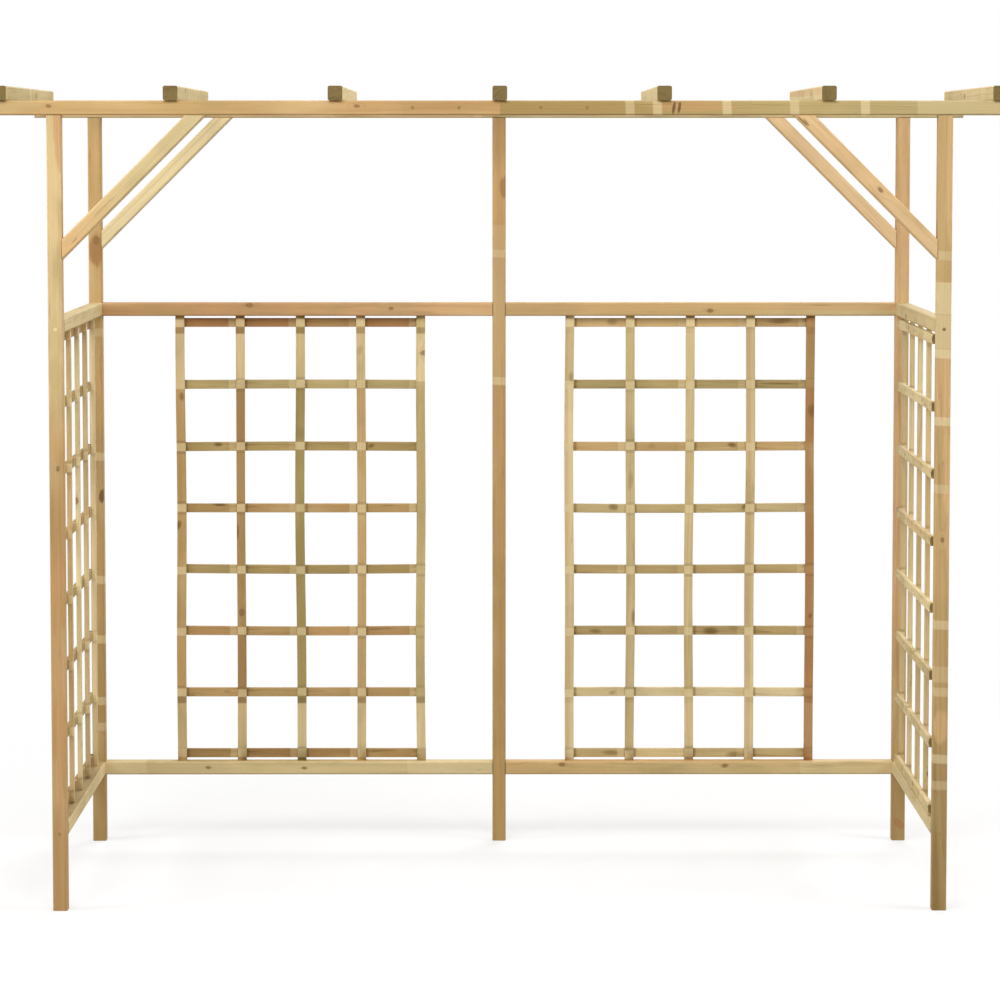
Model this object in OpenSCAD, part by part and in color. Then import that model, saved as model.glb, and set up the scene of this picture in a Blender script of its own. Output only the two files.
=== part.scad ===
// Garden pergola: five posts, two beams in halves, seven rafters, four knee braces,
// eight rails and four trellis panels, all in planed softwood, held by screws and nails.
// Millimetres, Z up, front towards -Y. The origin is on the ground in the middle of the plan.

/* [Overall] */
// Length of the front and rear beams, side to side
beam_l = 2500; // [2250:1:2750]
// Height from the ground to the top of the rafters
total_h = 2040; // [1836:1:2244]
// Depth over the outer faces of the front and rear posts
frame_d = 846; // [760:1:930]
// Length of beam that stands out past each corner post
beam_over = 142; // [60:1:180]

/* [Timber] */
// Width and thickness of the square timber
timber = 36; // [34:0.5:42]
// Radius of the eased long edges of the square timber
arris_r = 5; // [2:0.25:6]

/* [Rafters] */
// Length of rafter that stands out past each beam
rafter_over = 7; // [0:0.5:60]
// Distance of the outer rafters from the ends of the beams
rafter_in = 10; // [0:0.5:40]
// Width that the bay at each end has over the other bays between the rafters
end_bay_extra = 16; // [0:0.5:60]

/* [Rails] */
// Height of the underside of the bottom rails above the ground
rail_low_z = 182; // [120:1:260]
// Height between the top rails and the beams
rail_drop = 498; // [440:1:560]

/* [Knee braces] */
// Reach of a knee brace along the post and along the beam
brace_reach = 353.5; // [325:0.5:400]
// Distance along the long edge of a brace from its tip to the screw
brace_screw_s = 20; // [14:0.5:24]

/* [Trellis] */
// Width of the trellis battens
batten_w = 24; // [20:0.5:28]
// Thickness of the trellis battens
batten_t = 11; // [9:0.25:13]
// Radius of the eased long edges of the battens
batten_r = 1.25; // [0.5:0.25:2]
// Clear gap between a side trellis and the posts beside it
side_gap = 49; // [40:0.5:70]
// Clear gap between a rail and the slat nearest to it
slat_gap = 7; // [3:0.5:20]
// Shift of the left rear trellis towards the centre post
left_shift = 7; // [0:0.5:60]
// Shift of the right rear trellis towards the centre post
right_shift = 27; // [0:0.5:60]

/* [Beam joint] */
// Length of the block behind the joint in the front beam
splice_l = 480; // [400:1:560]
// Distance from the joint in the beam to the inner splice screws
splice_in = 100; // [60:1:130]
// Distance from the end of the block to the outer splice screws
splice_end = 27; // [20:0.5:40]

/* [Screws] */
// Shank diameter of the frame screws
screw_d = 4.5; // [4:0.1:5]
// Head diameter of the frame screws
screw_head_d = 9; // [8:0.1:10]
// Length of the screws through the rafters into the beams
rafter_screw_l = 66; // [50:0.5:66]
// Length of the screws through the beams into the posts
beam_screw_l = 90; // [70:1:120]
// Length of the screws through the posts into the rail ends
rail_screw_l = 70; // [56:1:76]
// Length of the screws through the brace ends
brace_screw_l = 60; // [44:0.5:62]
// Length of the screws through the front beam into the splice block
splice_screw_l = 62; // [50:0.5:64]
// Length of the slanted screws at the centre post
toe_screw_l = 38; // [30:0.5:40]
// Distance of crossing screws from the centre line of a timber
screw_off = 8; // [6:0.25:9]
// Depth of the screw heads below the face of the wood
head_sink = 0.5; // [0.2:0.1:1]
// Clearance around screw and nail shanks in their holes
bore_clear = 0.15; // [0.1:0.05:0.3]

/* [Trellis fixings] */
// Shank diameter of the trellis screws
panel_screw_d = 3.5; // [3:0.1:4]
// Head diameter of the trellis screws
panel_head_d = 7; // [6:0.1:8]
// Length of the trellis screws through the rails into the uprights
panel_screw_l = 60; // [48:0.5:80]
// Shank diameter of the trellis nails
nail_d = 1.8; // [1.4:0.1:2.2]
// Head diameter of the trellis nails
nail_head_d = 4.2; // [3.6:0.1:5]
// Depth that the nails reach into the uprights
nail_bite = 7; // [5:0.25:7.5]
// Distance of the nails from the centre line of the upright
nail_off = 6; // [5:0.25:7]

/* [Hidden] */
$fn = 32;
rafter_n = 7;
upright_n = 5;
slat_n = 8;
post_h = total_h - 2 * timber;
beam_top = total_h - timber;
post_x = beam_l / 2 - beam_over - timber / 2;
post_y = frame_d / 2 - timber / 2;
inner_x = post_x - timber / 2;
inner_y = post_y - timber / 2;
rafter_l = frame_d + 2 * rafter_over;
rafter_x0 = beam_l / 2 - timber / 2 - rafter_in;
rafter_side_n = (rafter_n - 1) / 2;
rafter_pitch = (rafter_x0 - end_bay_extra) / rafter_side_n;
mid_off = timber / 2 - screw_off;
rail_top_z = post_h - rail_drop - timber;
rail_zs = [rail_low_z + timber / 2, rail_top_z + timber / 2];
rear_rail_l = inner_x - timber / 2;
side_rail_l = 2 * inner_y;
bay_x = (timber / 2 + inner_x) / 2;
panel_z0 = rail_low_z + timber;
panel_h = rail_top_z - panel_z0;
panel_w = side_rail_l - 2 * side_gap;
upright_pitch = (panel_w - batten_w) / (upright_n - 1);
slat_z0 = slat_gap + batten_w / 2;
slat_step = (panel_h - 2 * slat_z0) / (slat_n - 1);
splice_xs = [splice_in, splice_l / 2 - splice_end];
toe_start = timber / 3;
toe_sink = screw_head_d / 2 + head_sink;
nail_head_h = 0.8;
nail_sink = 0.2;
tip_gap = 1;
nail_tip_gap = 0.5;
pine = "BurlyWood";
pine_light = "Wheat";
steel = "Silver";

// Cross-section of a batten or timber with its four long edges eased
module eased_section(w, d, r) {
    square([w - 2 * r, d], center = true);
    square([w, d - 2 * r], center = true);
    for (sx = [-1, 1], sy = [-1, 1])
        translate([sx * (w / 2 - r), sy * (d / 2 - r)])
            circle(r = r);
}

// Square timber standing on z = 0
module bar(len) {
    linear_extrude(height = len)
        eased_section(timber, timber, arris_r);
}

// Square timber along X, starting at x = 0
module bar_x(len) {
    rotate([0, 90, 0])
        bar(len);
}

// Square timber along Y, centred
module bar_y(len) {
    translate([0, len / 2, 0])
        rotate([90, 0, 0])
            bar(len);
}

// Wood screw pointing down, with the face of the wood at z = 0
module screw(len, d, head_d, sink) {
    cone_h = (head_d - d) / 2;
    slot_w = head_d / 8;
    difference() {
        union() {
            translate([0, 0, -sink - cone_h])
                cylinder(d1 = d, d2 = head_d, h = cone_h);
            translate([0, 0, -sink - len + d])
                cylinder(d = d, h = len - d - cone_h);
            translate([0, 0, -sink - len])
                cylinder(d1 = 0.4, d2 = d, h = d);
        }
        for (a = [0, 90])
            rotate([0, 0, a])
                translate([0, 0, -sink])
                    cube([head_d * 0.6, slot_w, cone_h], center = true);
    }
}

// Hole and countersink for a screw of the same values
module screw_hole(len, d, head_d, sink) {
    cone_h = (head_d - d) / 2;
    translate([0, 0, -sink - len - tip_gap])
        cylinder(d = d + 2 * bore_clear, h = len + tip_gap - cone_h / 2);
    translate([0, 0, -sink - cone_h])
        cylinder(d1 = d, d2 = head_d, h = cone_h);
    translate([0, 0, -sink])
        cylinder(d = head_d, h = 2 * sink + head_d);
}

// Flat-headed nail pointing down, with the face of the wood at z = 0
module nail() {
    len = batten_t + nail_bite - nail_sink;
    translate([0, 0, -nail_sink - nail_head_h])
        cylinder(d = nail_head_d, h = nail_head_h);
    translate([0, 0, -nail_sink - len + nail_d])
        cylinder(d = nail_d, h = len - nail_d);
    translate([0, 0, -nail_sink - len])
        cylinder(d1 = 0.3, d2 = nail_d, h = nail_d);
}

// Hole for a nail through the slat and into the upright
module nail_hole() {
    translate([0, 0, -batten_t - nail_bite - nail_tip_gap])
        cylinder(d = nail_d + 2 * bore_clear, h = batten_t + nail_bite);
    translate([0, 0, -nail_sink - nail_head_h])
        cylinder(d = nail_head_d + 2 * bore_clear, h = nail_head_h + 2 * nail_sink + tip_gap);
}

// Middle of rafter i, counted from 0 at the left
function rafter_x(i) =
    let (k = i - rafter_side_n)
        abs(k) == rafter_side_n ? sign(k) * rafter_x0 : k * rafter_pitch;

// Places of the screws through rafter i into the beams, clear of the other screws there
module rafter_places(i) {
    centre = i == rafter_side_n;
    for (sx = centre ? [-1, 1] : [0], sy = [-1, 1])
        translate([rafter_x(i) + sx * mid_off, sy * (post_y + (centre ? 1 : -1) * screw_off), total_h])
            children();
}

// Places of the screws through the beams into the posts, for the side sx = -1 or 1
module beam_corner_place(sx, sy) {
    translate([sx * post_x, sy * post_y, beam_top])
        children();
}

module beam_centre_place(sx) {
    translate([sx * mid_off, post_y - screw_off, beam_top])
        children();
}

// Place of the screw at the foot of a brace, square to its long edge
module brace_foot_place(sx, sy) {
    s = brace_screw_s / sqrt(2);
    translate([sx * (inner_x - s), sy * post_y, post_h - brace_reach + s])
        rotate([0, -sx * 135, 0])
            children();
}

// Place of the screw at the head of a brace, square to its long edge
module brace_head_place(sx, sy) {
    s = brace_screw_s / sqrt(2);
    translate([sx * (inner_x - brace_reach + s), sy * post_y, post_h - s])
        rotate([0, -sx * 135, 0])
            children();
}

// Places of the splice screws on the side sx of the joint
module splice_places(sx) {
    for (x = splice_xs)
        translate([sx * x, -post_y - timber / 2, post_h + timber / 2])
            rotate([90, 0, 0])
                children();
}

// Place of the screw through a post into the end of a side rail
module side_rail_place(sx, sy, z) {
    translate([sx * post_x, sy * (post_y + timber / 2), z - screw_off])
        rotate([-sy * 90, 0, 0])
            children();
}

// Place of the screw through a rear corner post into a rear rail
module rear_rail_place(sx, z) {
    translate([sx * (post_x + timber / 2), post_y, z + screw_off])
        rotate([0, sx * 90, 0])
            children();
}

// Place of the slanted screw through a rear rail into the centre post
module toe_place(sx, z) {
    translate([sx * (timber / 2 + toe_start), post_y + timber / 2, z + sx * screw_off])
        rotate([0, 0, -sx * 45])
            rotate([-90, 0, 0])
                children();
}

module rafter_screw_hole() {
    screw_hole(rafter_screw_l, screw_d, screw_head_d, head_sink);
}

module beam_screw_hole() {
    screw_hole(beam_screw_l, screw_d, screw_head_d, head_sink);
}

module brace_screw_hole() {
    screw_hole(brace_screw_l, screw_d, screw_head_d, head_sink);
}

module splice_screw_hole() {
    screw_hole(splice_screw_l, screw_d, screw_head_d, head_sink);
}

module rail_screw_hole() {
    screw_hole(rail_screw_l, screw_d, screw_head_d, head_sink);
}

module toe_screw_hole() {
    screw_hole(toe_screw_l, screw_d, screw_head_d, toe_sink);
}

module panel_screw_hole() {
    screw_hole(panel_screw_l, panel_screw_d, panel_head_d, head_sink);
}

// Corner post on side sx, at the front (sy = -1) or the rear (sy = 1)
module corner_post(sx, sy) {
    difference() {
        translate([sx * post_x, sy * post_y, 0])
            bar(post_h);
        beam_corner_place(sx, sy)
            beam_screw_hole();
        brace_foot_place(sx, sy)
            brace_screw_hole();
        for (z = rail_zs)
            side_rail_place(sx, sy, z)
                rail_screw_hole();
        if (sy > 0)
            for (z = rail_zs)
                rear_rail_place(sx, z)
                    rail_screw_hole();
    }
}

module post_front_left() {
    color(pine)
        corner_post(-1, -1);
}

module post_front_right() {
    color(pine)
        corner_post(1, -1);
}

module post_rear_left() {
    color(pine)
        corner_post(-1, 1);
}

module post_rear_right() {
    color(pine)
        corner_post(1, 1);
}

module post_rear_centre() {
    color(pine)
        difference() {
            translate([0, post_y, 0])
                bar(post_h);
            for (sx = [-1, 1]) {
                beam_centre_place(sx)
                    beam_screw_hole();
                for (z = rail_zs)
                    toe_place(sx, z)
                        toe_screw_hole();
            }
        }
}

// Half of the front (sy = -1) or rear (sy = 1) beam, on side sx
module half_beam(sx, sy) {
    first = sx < 0 ? 0 : rafter_side_n;
    difference() {
        translate([sx < 0 ? -beam_l / 2 : 0, sy * post_y, beam_top - timber / 2])
            bar_x(beam_l / 2);
        for (i = [first : first + rafter_side_n])
            rafter_places(i)
                rafter_screw_hole();
        beam_corner_place(sx, sy)
            beam_screw_hole();
        brace_head_place(sx, sy)
            brace_screw_hole();
        if (sy > 0)
            beam_centre_place(sx)
                beam_screw_hole();
        if (sy < 0)
            splice_places(sx)
                splice_screw_hole();
    }
}

module beam_front_left() {
    color(pine)
        half_beam(-1, -1);
}

module beam_front_right() {
    color(pine)
        half_beam(1, -1);
}

module beam_rear_left() {
    color(pine)
        half_beam(-1, 1);
}

module beam_rear_right() {
    color(pine)
        half_beam(1, 1);
}

module splice_block() {
    color(pine)
        difference() {
            translate([-splice_l / 2, -inner_y + timber / 2, beam_top - timber / 2])
                bar_x(splice_l);
            for (sx = [-1, 1])
                splice_places(sx)
                    splice_screw_hole();
        }
}

module rafter(i) {
    color(pine)
        difference() {
            translate([rafter_x(i), 0, total_h - timber / 2])
                bar_y(rafter_l);
            rafter_places(i)
                rafter_screw_hole();
        }
}

// Knee brace between a corner post and its beam, mitred at both ends
module brace(sx, sy) {
    bar_l = brace_reach * sqrt(2) + 2 * timber;
    span = brace_reach + timber;
    color(pine)
        difference() {
            intersection() {
                translate([sx * (inner_x - brace_reach / 2), sy * post_y, post_h - brace_reach / 2])
                    rotate([0, -sx * 45, 0])
                        translate([sx * timber / 2, 0, -bar_l / 2])
                            bar(bar_l);
                translate([sx > 0 ? inner_x - span : -inner_x, sy * post_y - timber, post_h - span])
                    cube([span, 2 * timber, span]);
            }
            brace_foot_place(sx, sy)
                brace_screw_hole();
            brace_head_place(sx, sy)
                brace_screw_hole();
        }
}

module brace_front_left() {
    brace(-1, -1);
}

module brace_front_right() {
    brace(1, -1);
}

module brace_rear_left() {
    brace(-1, 1);
}

module brace_rear_right() {
    brace(1, 1);
}

// Upright positions across a panel, measured from its middle
function upright_u(i) = (i - (upright_n - 1) / 2) * upright_pitch;

// Centre of the rear trellis on side sx
function rear_panel_x(sx) = sx * (bay_x - (sx < 0 ? left_shift : right_shift));

// Frame of a panel: u across, depth from the slat face towards the uprights, height up
module rear_panel_frame(sx) {
    translate([rear_panel_x(sx), post_y + timber / 2, panel_z0])
        children();
}

// The side panels both have their uprights towards +X
module side_panel_frame(sx) {
    translate([sx * post_x - timber / 2, 0, panel_z0])
        rotate([0, 0, 90])
            children();
}

// Places of the trellis screws, through the bottom and the top rail, in a panel frame
module panel_screw_places() {
    for (i = [0, upright_n - 1]) {
        translate([upright_u(i), -batten_t * 1.5, -timber])
            rotate([180, 0, 0])
                children();
        translate([upright_u(i), -batten_t * 1.5, panel_h + timber])
            children();
    }
}

// Places of the nails through the slats, in a panel frame
module nail_places() {
    for (i = [0 : upright_n - 1], j = [0 : slat_n - 1])
        translate([upright_u(i) + (j % 2 == 0 ? 1 : -1) * nail_off, 0, slat_z0 + j * slat_step])
            rotate([-90, 0, 0])
                children();
}

module panel_uprights() {
    difference() {
        for (i = [0 : upright_n - 1])
            translate([upright_u(i), -batten_t * 1.5, 0])
                linear_extrude(height = panel_h)
                    eased_section(batten_w, batten_t, batten_r);
        nail_places()
            nail_hole();
        panel_screw_places()
            panel_screw_hole();
    }
}

module panel_slats() {
    difference() {
        for (j = [0 : slat_n - 1])
            translate([-panel_w / 2, -batten_t / 2, slat_z0 + j * slat_step])
                rotate([0, 90, 0])
                    linear_extrude(height = panel_w)
                        eased_section(batten_w, batten_t, batten_r);
        nail_places()
            nail_hole();
    }
}

module uprights_rear_left() {
    color(pine_light)
        rear_panel_frame(-1)
            panel_uprights();
}

module slats_rear_left() {
    color(pine_light)
        rear_panel_frame(-1)
            panel_slats();
}

module nails_rear_left() {
    color(steel)
        rear_panel_frame(-1)
            nail_places()
                nail();
}

module uprights_rear_right() {
    color(pine_light)
        rear_panel_frame(1)
            panel_uprights();
}

module slats_rear_right() {
    color(pine_light)
        rear_panel_frame(1)
            panel_slats();
}

module nails_rear_right() {
    color(steel)
        rear_panel_frame(1)
            nail_places()
                nail();
}

module uprights_side_left() {
    color(pine_light)
        side_panel_frame(-1)
            panel_uprights();
}

module slats_side_left() {
    color(pine_light)
        side_panel_frame(-1)
            panel_slats();
}

module nails_side_left() {
    color(steel)
        side_panel_frame(-1)
            nail_places()
                nail();
}

module uprights_side_right() {
    color(pine_light)
        side_panel_frame(1)
            panel_uprights();
}

module slats_side_right() {
    color(pine_light)
        side_panel_frame(1)
            panel_slats();
}

module nails_side_right() {
    color(steel)
        side_panel_frame(1)
            nail_places()
                nail();
}

// Rear rail between the centre post and a corner post
module rear_rail(sx, z) {
    color(pine)
        difference() {
            translate([sx < 0 ? -inner_x : timber / 2, post_y, z])
                bar_x(rear_rail_l);
            rear_rail_place(sx, z)
                rail_screw_hole();
            toe_place(sx, z)
                toe_screw_hole();
            rear_panel_frame(sx)
                panel_screw_places()
                    panel_screw_hole();
        }
}

// Side rail between a front post and a rear post
module side_rail(sx, z) {
    color(pine)
        difference() {
            translate([sx * post_x, 0, z])
                bar_y(side_rail_l);
            for (sy = [-1, 1])
                side_rail_place(sx, sy, z)
                    rail_screw_hole();
            side_panel_frame(sx)
                panel_screw_places()
                    panel_screw_hole();
        }
}

module rafter_screws() {
    color(steel)
        for (i = [0 : rafter_n - 1])
            rafter_places(i)
                screw(rafter_screw_l, screw_d, screw_head_d, head_sink);
}

module beam_screws() {
    color(steel) {
        for (sx = [-1, 1], sy = [-1, 1])
            beam_corner_place(sx, sy)
                screw(beam_screw_l, screw_d, screw_head_d, head_sink);
        for (sx = [-1, 1])
            beam_centre_place(sx)
                screw(beam_screw_l, screw_d, screw_head_d, head_sink);
    }
}

module brace_screws() {
    color(steel)
        for (sx = [-1, 1], sy = [-1, 1]) {
            brace_foot_place(sx, sy)
                screw(brace_screw_l, screw_d, screw_head_d, head_sink);
            brace_head_place(sx, sy)
                screw(brace_screw_l, screw_d, screw_head_d, head_sink);
        }
}

module splice_screws() {
    color(steel)
        for (sx = [-1, 1])
            splice_places(sx)
                screw(splice_screw_l, screw_d, screw_head_d, head_sink);
}

module side_rail_screws() {
    color(steel)
        for (sx = [-1, 1], sy = [-1, 1], z = rail_zs)
            side_rail_place(sx, sy, z)
                screw(rail_screw_l, screw_d, screw_head_d, head_sink);
}

module rear_rail_screws() {
    color(steel)
        for (sx = [-1, 1], z = rail_zs)
            rear_rail_place(sx, z)
                screw(rail_screw_l, screw_d, screw_head_d, head_sink);
}

module centre_post_screws() {
    color(steel)
        for (sx = [-1, 1], z = rail_zs)
            toe_place(sx, z)
                screw(toe_screw_l, screw_d, screw_head_d, toe_sink);
}

module trellis_screws() {
    color(steel)
        for (sx = [-1, 1]) {
            rear_panel_frame(sx)
                panel_screw_places()
                    screw(panel_screw_l, panel_screw_d, panel_head_d, head_sink);
            side_panel_frame(sx)
                panel_screw_places()
                    screw(panel_screw_l, panel_screw_d, panel_head_d, head_sink);
        }
}

post_front_left();
post_front_right();
post_rear_left();
post_rear_centre();
post_rear_right();
beam_front_left();
beam_front_right();
beam_rear_left();
beam_rear_right();
splice_block();
rafter(0);  // rafter_1
rafter(1);  // rafter_2
rafter(2);  // rafter_3
rafter(3);  // rafter_4
rafter(4);  // rafter_5
rafter(5);  // rafter_6
rafter(6);  // rafter_7
brace_front_left();
brace_front_right();
brace_rear_left();
brace_rear_right();
rear_rail(-1, rail_zs[1]);  // rail_rear_top_left
rear_rail(1, rail_zs[1]);  // rail_rear_top_right
rear_rail(-1, rail_zs[0]);  // rail_rear_bottom_left
rear_rail(1, rail_zs[0]);  // rail_rear_bottom_right
side_rail(-1, rail_zs[1]);  // rail_side_top_left
side_rail(1, rail_zs[1]);  // rail_side_top_right
side_rail(-1, rail_zs[0]);  // rail_side_bottom_left
side_rail(1, rail_zs[0]);  // rail_side_bottom_right
uprights_rear_left();
slats_rear_left();
nails_rear_left();
uprights_rear_right();
slats_rear_right();
nails_rear_right();
uprights_side_left();
slats_side_left();
nails_side_left();
uprights_side_right();
slats_side_right();
nails_side_right();
rafter_screws();
beam_screws();
brace_screws();
splice_screws();
side_rail_screws();
rear_rail_screws();
centre_post_screws();
trellis_screws();
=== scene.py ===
"""Timber garden pergola with trellises at the rear and the sides, in a plain bright studio."""
import math

import bmesh
import bpy
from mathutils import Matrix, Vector


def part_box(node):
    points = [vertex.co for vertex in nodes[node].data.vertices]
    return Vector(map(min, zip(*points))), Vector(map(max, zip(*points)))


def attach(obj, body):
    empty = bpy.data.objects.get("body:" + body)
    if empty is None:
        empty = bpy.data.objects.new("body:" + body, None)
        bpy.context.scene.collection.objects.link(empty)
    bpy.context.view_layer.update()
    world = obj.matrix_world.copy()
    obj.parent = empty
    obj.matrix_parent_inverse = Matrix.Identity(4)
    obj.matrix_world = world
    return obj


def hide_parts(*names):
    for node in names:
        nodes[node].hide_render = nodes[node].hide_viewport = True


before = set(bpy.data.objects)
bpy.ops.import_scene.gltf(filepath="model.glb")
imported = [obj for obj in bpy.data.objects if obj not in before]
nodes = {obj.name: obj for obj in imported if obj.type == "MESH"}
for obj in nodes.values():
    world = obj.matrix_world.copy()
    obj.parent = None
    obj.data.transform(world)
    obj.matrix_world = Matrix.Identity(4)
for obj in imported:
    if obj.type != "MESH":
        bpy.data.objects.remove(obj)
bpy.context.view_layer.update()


def middle(name):
    """The middle of a node's box."""
    lo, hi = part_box(name)
    return (Vector(lo) + Vector(hi)) / 2


def span(name):
    """The three sizes of a node's box."""
    lo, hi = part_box(name)
    return Vector(hi) - Vector(lo)


# Sizes in metres, read from the frame wherever a box gives them

TIMBER = span("post_front_left").x
HALF = TIMBER / 2
# The front face of a timber, counted from its middle
FRONT = -HALF
BATTEN_W = 0.024
BATTEN_T = span("uprights_rear_left").y
# Radius of the eased long edges
ARRIS = 0.005
BATTEN_ARRIS = 0.00125
PANELS = ("rear_left", "rear_right", "side_left", "side_right")
PANEL_W = span("uprights_rear_left").x
PANEL_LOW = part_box("uprights_rear_left")[0][2]
PANEL_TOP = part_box("uprights_rear_left")[1][2]
UPRIGHTS = 5
MIDDLE_UPRIGHT = (UPRIGHTS - 1) / 2
UPRIGHT_PITCH = (PANEL_W - BATTEN_W) / (UPRIGHTS - 1)
SLATS = 8
SLAT_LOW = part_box("slats_rear_left")[0][2]
SLAT_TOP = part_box("slats_rear_left")[1][2]
SLAT_PITCH = (SLAT_TOP - SLAT_LOW - BATTEN_W) / (SLATS - 1)
FIRST_SLAT = SLAT_LOW + BATTEN_W / 2
# How far the outer slats are from the panel's middle
OUTER_SLAT = (SLATS - 1) / 2 * SLAT_PITCH

# Number of stretches that the mesh of a trellis batten is cut into, so that it can bend
UPRIGHT_STRETCHES = 24
SLAT_STRETCHES = 14

# Width of a pale band, half depth of a fleck, and the length of batten that can have one knot
BAND_W = 0.023
FLECK_DEPTH = 0.012
KNOT_CELL = 0.31


def grey(value):
    """An sRGB value from 0 to 255 as the linear value that a shader takes."""
    c = value / 255
    return c / 12.92 if c < 0.04045 else ((c + 0.055) / 1.055) ** 2.4


def tint(r, g, b):
    return (grey(r), grey(g), grey(b), 1.0)


# Tints of the treated softwood, from its faces to its marks and cut ends

CREAM = tint(232, 211, 160)
STRAW = tint(218, 196, 144)
SAND = tint(226, 198, 142)
HONEY = tint(202, 166, 110)
AMBER = tint(198, 158, 104)
OCHRE = tint(186, 152, 96)
LODEN = tint(171, 143, 87)
DUSK = tint(158, 129, 76)
TAN = tint(208, 175, 119)
APRICOT = tint(228, 188, 132)
BLUSH = tint(238, 203, 154)
PEACH = tint(219, 177, 126)
PINK = tint(207, 159, 110)
OLIVE = tint(164, 147, 90)
MOSS = tint(184, 158, 100)
SAGE = tint(196, 175, 120)
BROWN = tint(168, 132, 82)
RUSSET = tint(182, 134, 84)
AUBURN = tint(164, 118, 68)
UMBER = tint(140, 106, 61)
PALE = tint(234, 214, 165)
BARK = tint(112, 82, 34)
DARK = tint(112, 80, 46)
KNOT = tint(138, 98, 56)
KNOT_RING = tint(158, 118, 72)
RIM = tint(104, 74, 44)
END = tint(134, 113, 69)
LATE = tint(150, 98, 52)
# The next tint colours stains, and also painted shade beside the crossings and on faces that look up
STAIN_AND_SHADE = tint(112, 86, 48)
END_LATE = tint(112, 90, 52)
END_OLIVE = tint(126, 110, 64)
CRACK = tint(80, 62, 36)

# Tints of the plated steel

SCREW_CLEAN = tint(168, 144, 96)
SCREW_DULL = tint(118, 96, 58)
# A painted highlight for the screws that catch the light
SCREW_PAINTED_HIGHLIGHT = tint(236, 216, 170)
NAIL_CLEAN = tint(160, 162, 162)
NAIL_DULL = tint(120, 122, 122)


# Node trees

class Value:
    """A number socket that can be added, multiplied and so on, which makes the nodes for it."""

    def __init__(self, maker, socket):
        self.maker = maker
        self.socket = socket

    def __add__(self, other):
        return self.maker.math("ADD", self, other)

    def __sub__(self, other):
        return self.maker.math("SUBTRACT", self, other)

    def __rsub__(self, other):
        return self.maker.math("SUBTRACT", other, self)

    def __mul__(self, other):
        return self.maker.math("MULTIPLY", self, other)

    def __truediv__(self, other):
        return self.maker.math("DIVIDE", self, other)

    def __abs__(self):
        return self.maker.math("ABSOLUTE", self)


def socket_of(value):
    return value.socket if isinstance(value, Value) else value


class Maker:
    """Adds nodes to one tree and joins them."""

    def __init__(self, tree):
        self.tree = tree

    def put(self, kind, ins, **props):
        """A new node with these properties, whose inputs are joined to sockets or set to constants."""
        node = self.tree.nodes.new(kind)
        for key, value in props.items():
            setattr(node, key, value)
        for key, value in ins.items():
            value = socket_of(value)
            if isinstance(value, bpy.types.NodeSocket):
                self.tree.links.new(value, node.inputs[key])
            else:
                node.inputs[key].default_value = value
        return node

    def send(self, values, sink):
        """Joins named values to the inputs of an output node."""
        for key, value in values.items():
            self.tree.links.new(socket_of(value), sink.inputs[key])

    def math(self, what, a, b=0.0, c=None):
        ins = {0: a, 1: b}
        if c is not None:
            ins[2] = c
        node = self.put("ShaderNodeMath", ins, operation=what)
        return Value(self, node.outputs[0])

    def most(self, values):
        """The largest of the values, or 0 where there is none."""
        total = 0.0
        for value in values:
            total = self.math("MAXIMUM", total, value)
        return total

    def step(self, x, low, high):
        """0 below low, 1 above high, and smooth between them."""
        node = self.put("ShaderNodeMapRange", {0: x, 1: low, 2: high}, interpolation_type="SMOOTHSTEP")
        return Value(self, node.outputs[0])

    def fall(self, x, low, high):
        """1 below low, 0 above high, and smooth between them."""
        return 1.0 - self.step(x, low, high)

    def join(self, x, y, z):
        return self.put("ShaderNodeCombineXYZ", {0: x, 1: y, 2: z}).outputs[0]

    def split(self, vector):
        node = self.put("ShaderNodeSeparateXYZ", {0: vector})
        return [Value(self, node.outputs[i]) for i in range(3)]

    def mix(self, factor, a, b, blend="MIX"):
        """A colour from a at factor 0 to b at factor 1. The node takes its colours as inputs 6 and 7."""
        node = self.put("ShaderNodeMix", {0: factor, 6: a, 7: b}, data_type="RGBA", blend_type=blend)
        return node.outputs[2]

    def noise(self, vector, detail, rough=0.5):
        """Noise as a number and as three numbers in a colour."""
        node = self.put("ShaderNodeTexNoise", {"Vector": vector, "Scale": 1.0, "Detail": detail,
                                               "Roughness": rough})
        return Value(self, node.outputs["Fac"]), node.outputs["Color"]

    def random(self, number):
        """Three random numbers that depend only on this one."""
        node = self.put("ShaderNodeTexWhiteNoise", {"W": number}, noise_dimensions="1D")
        return self.split(node.outputs["Color"])

    def group(self, tree, ins):
        """What a node group gives for these inputs, by name."""
        node = self.put("ShaderNodeGroup", ins, node_tree=tree)
        return {socket.name: Value(self, socket) for socket in node.outputs}

    def place(self):
        """The position on the object, in metres in the frame."""
        return self.split(self.put("ShaderNodeTexCoord", {}).outputs["Object"])

    def facing(self):
        """The direction that the surface looks in."""
        return self.split(self.put("ShaderNodeNewGeometry", {}).outputs["Normal"])


def new_group(name, ins, outs):
    """An empty node group with its sockets, and the maker, inputs and output node for it."""
    tree = bpy.data.node_groups.new(name, "ShaderNodeTree")
    kinds = {"v": "NodeSocketVector", "f": "NodeSocketFloat", "c": "NodeSocketColor"}
    for key, kind in ins.items():
        tree.interface.new_socket(key, in_out="INPUT", socket_type=kinds[kind])
    for key, kind in outs.items():
        tree.interface.new_socket(key, in_out="OUTPUT", socket_type=kinds[kind])
    given = tree.nodes.new("NodeGroupInput").outputs
    sink = tree.nodes.new("NodeGroupOutput")
    return tree, Maker(tree), given, sink


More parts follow.
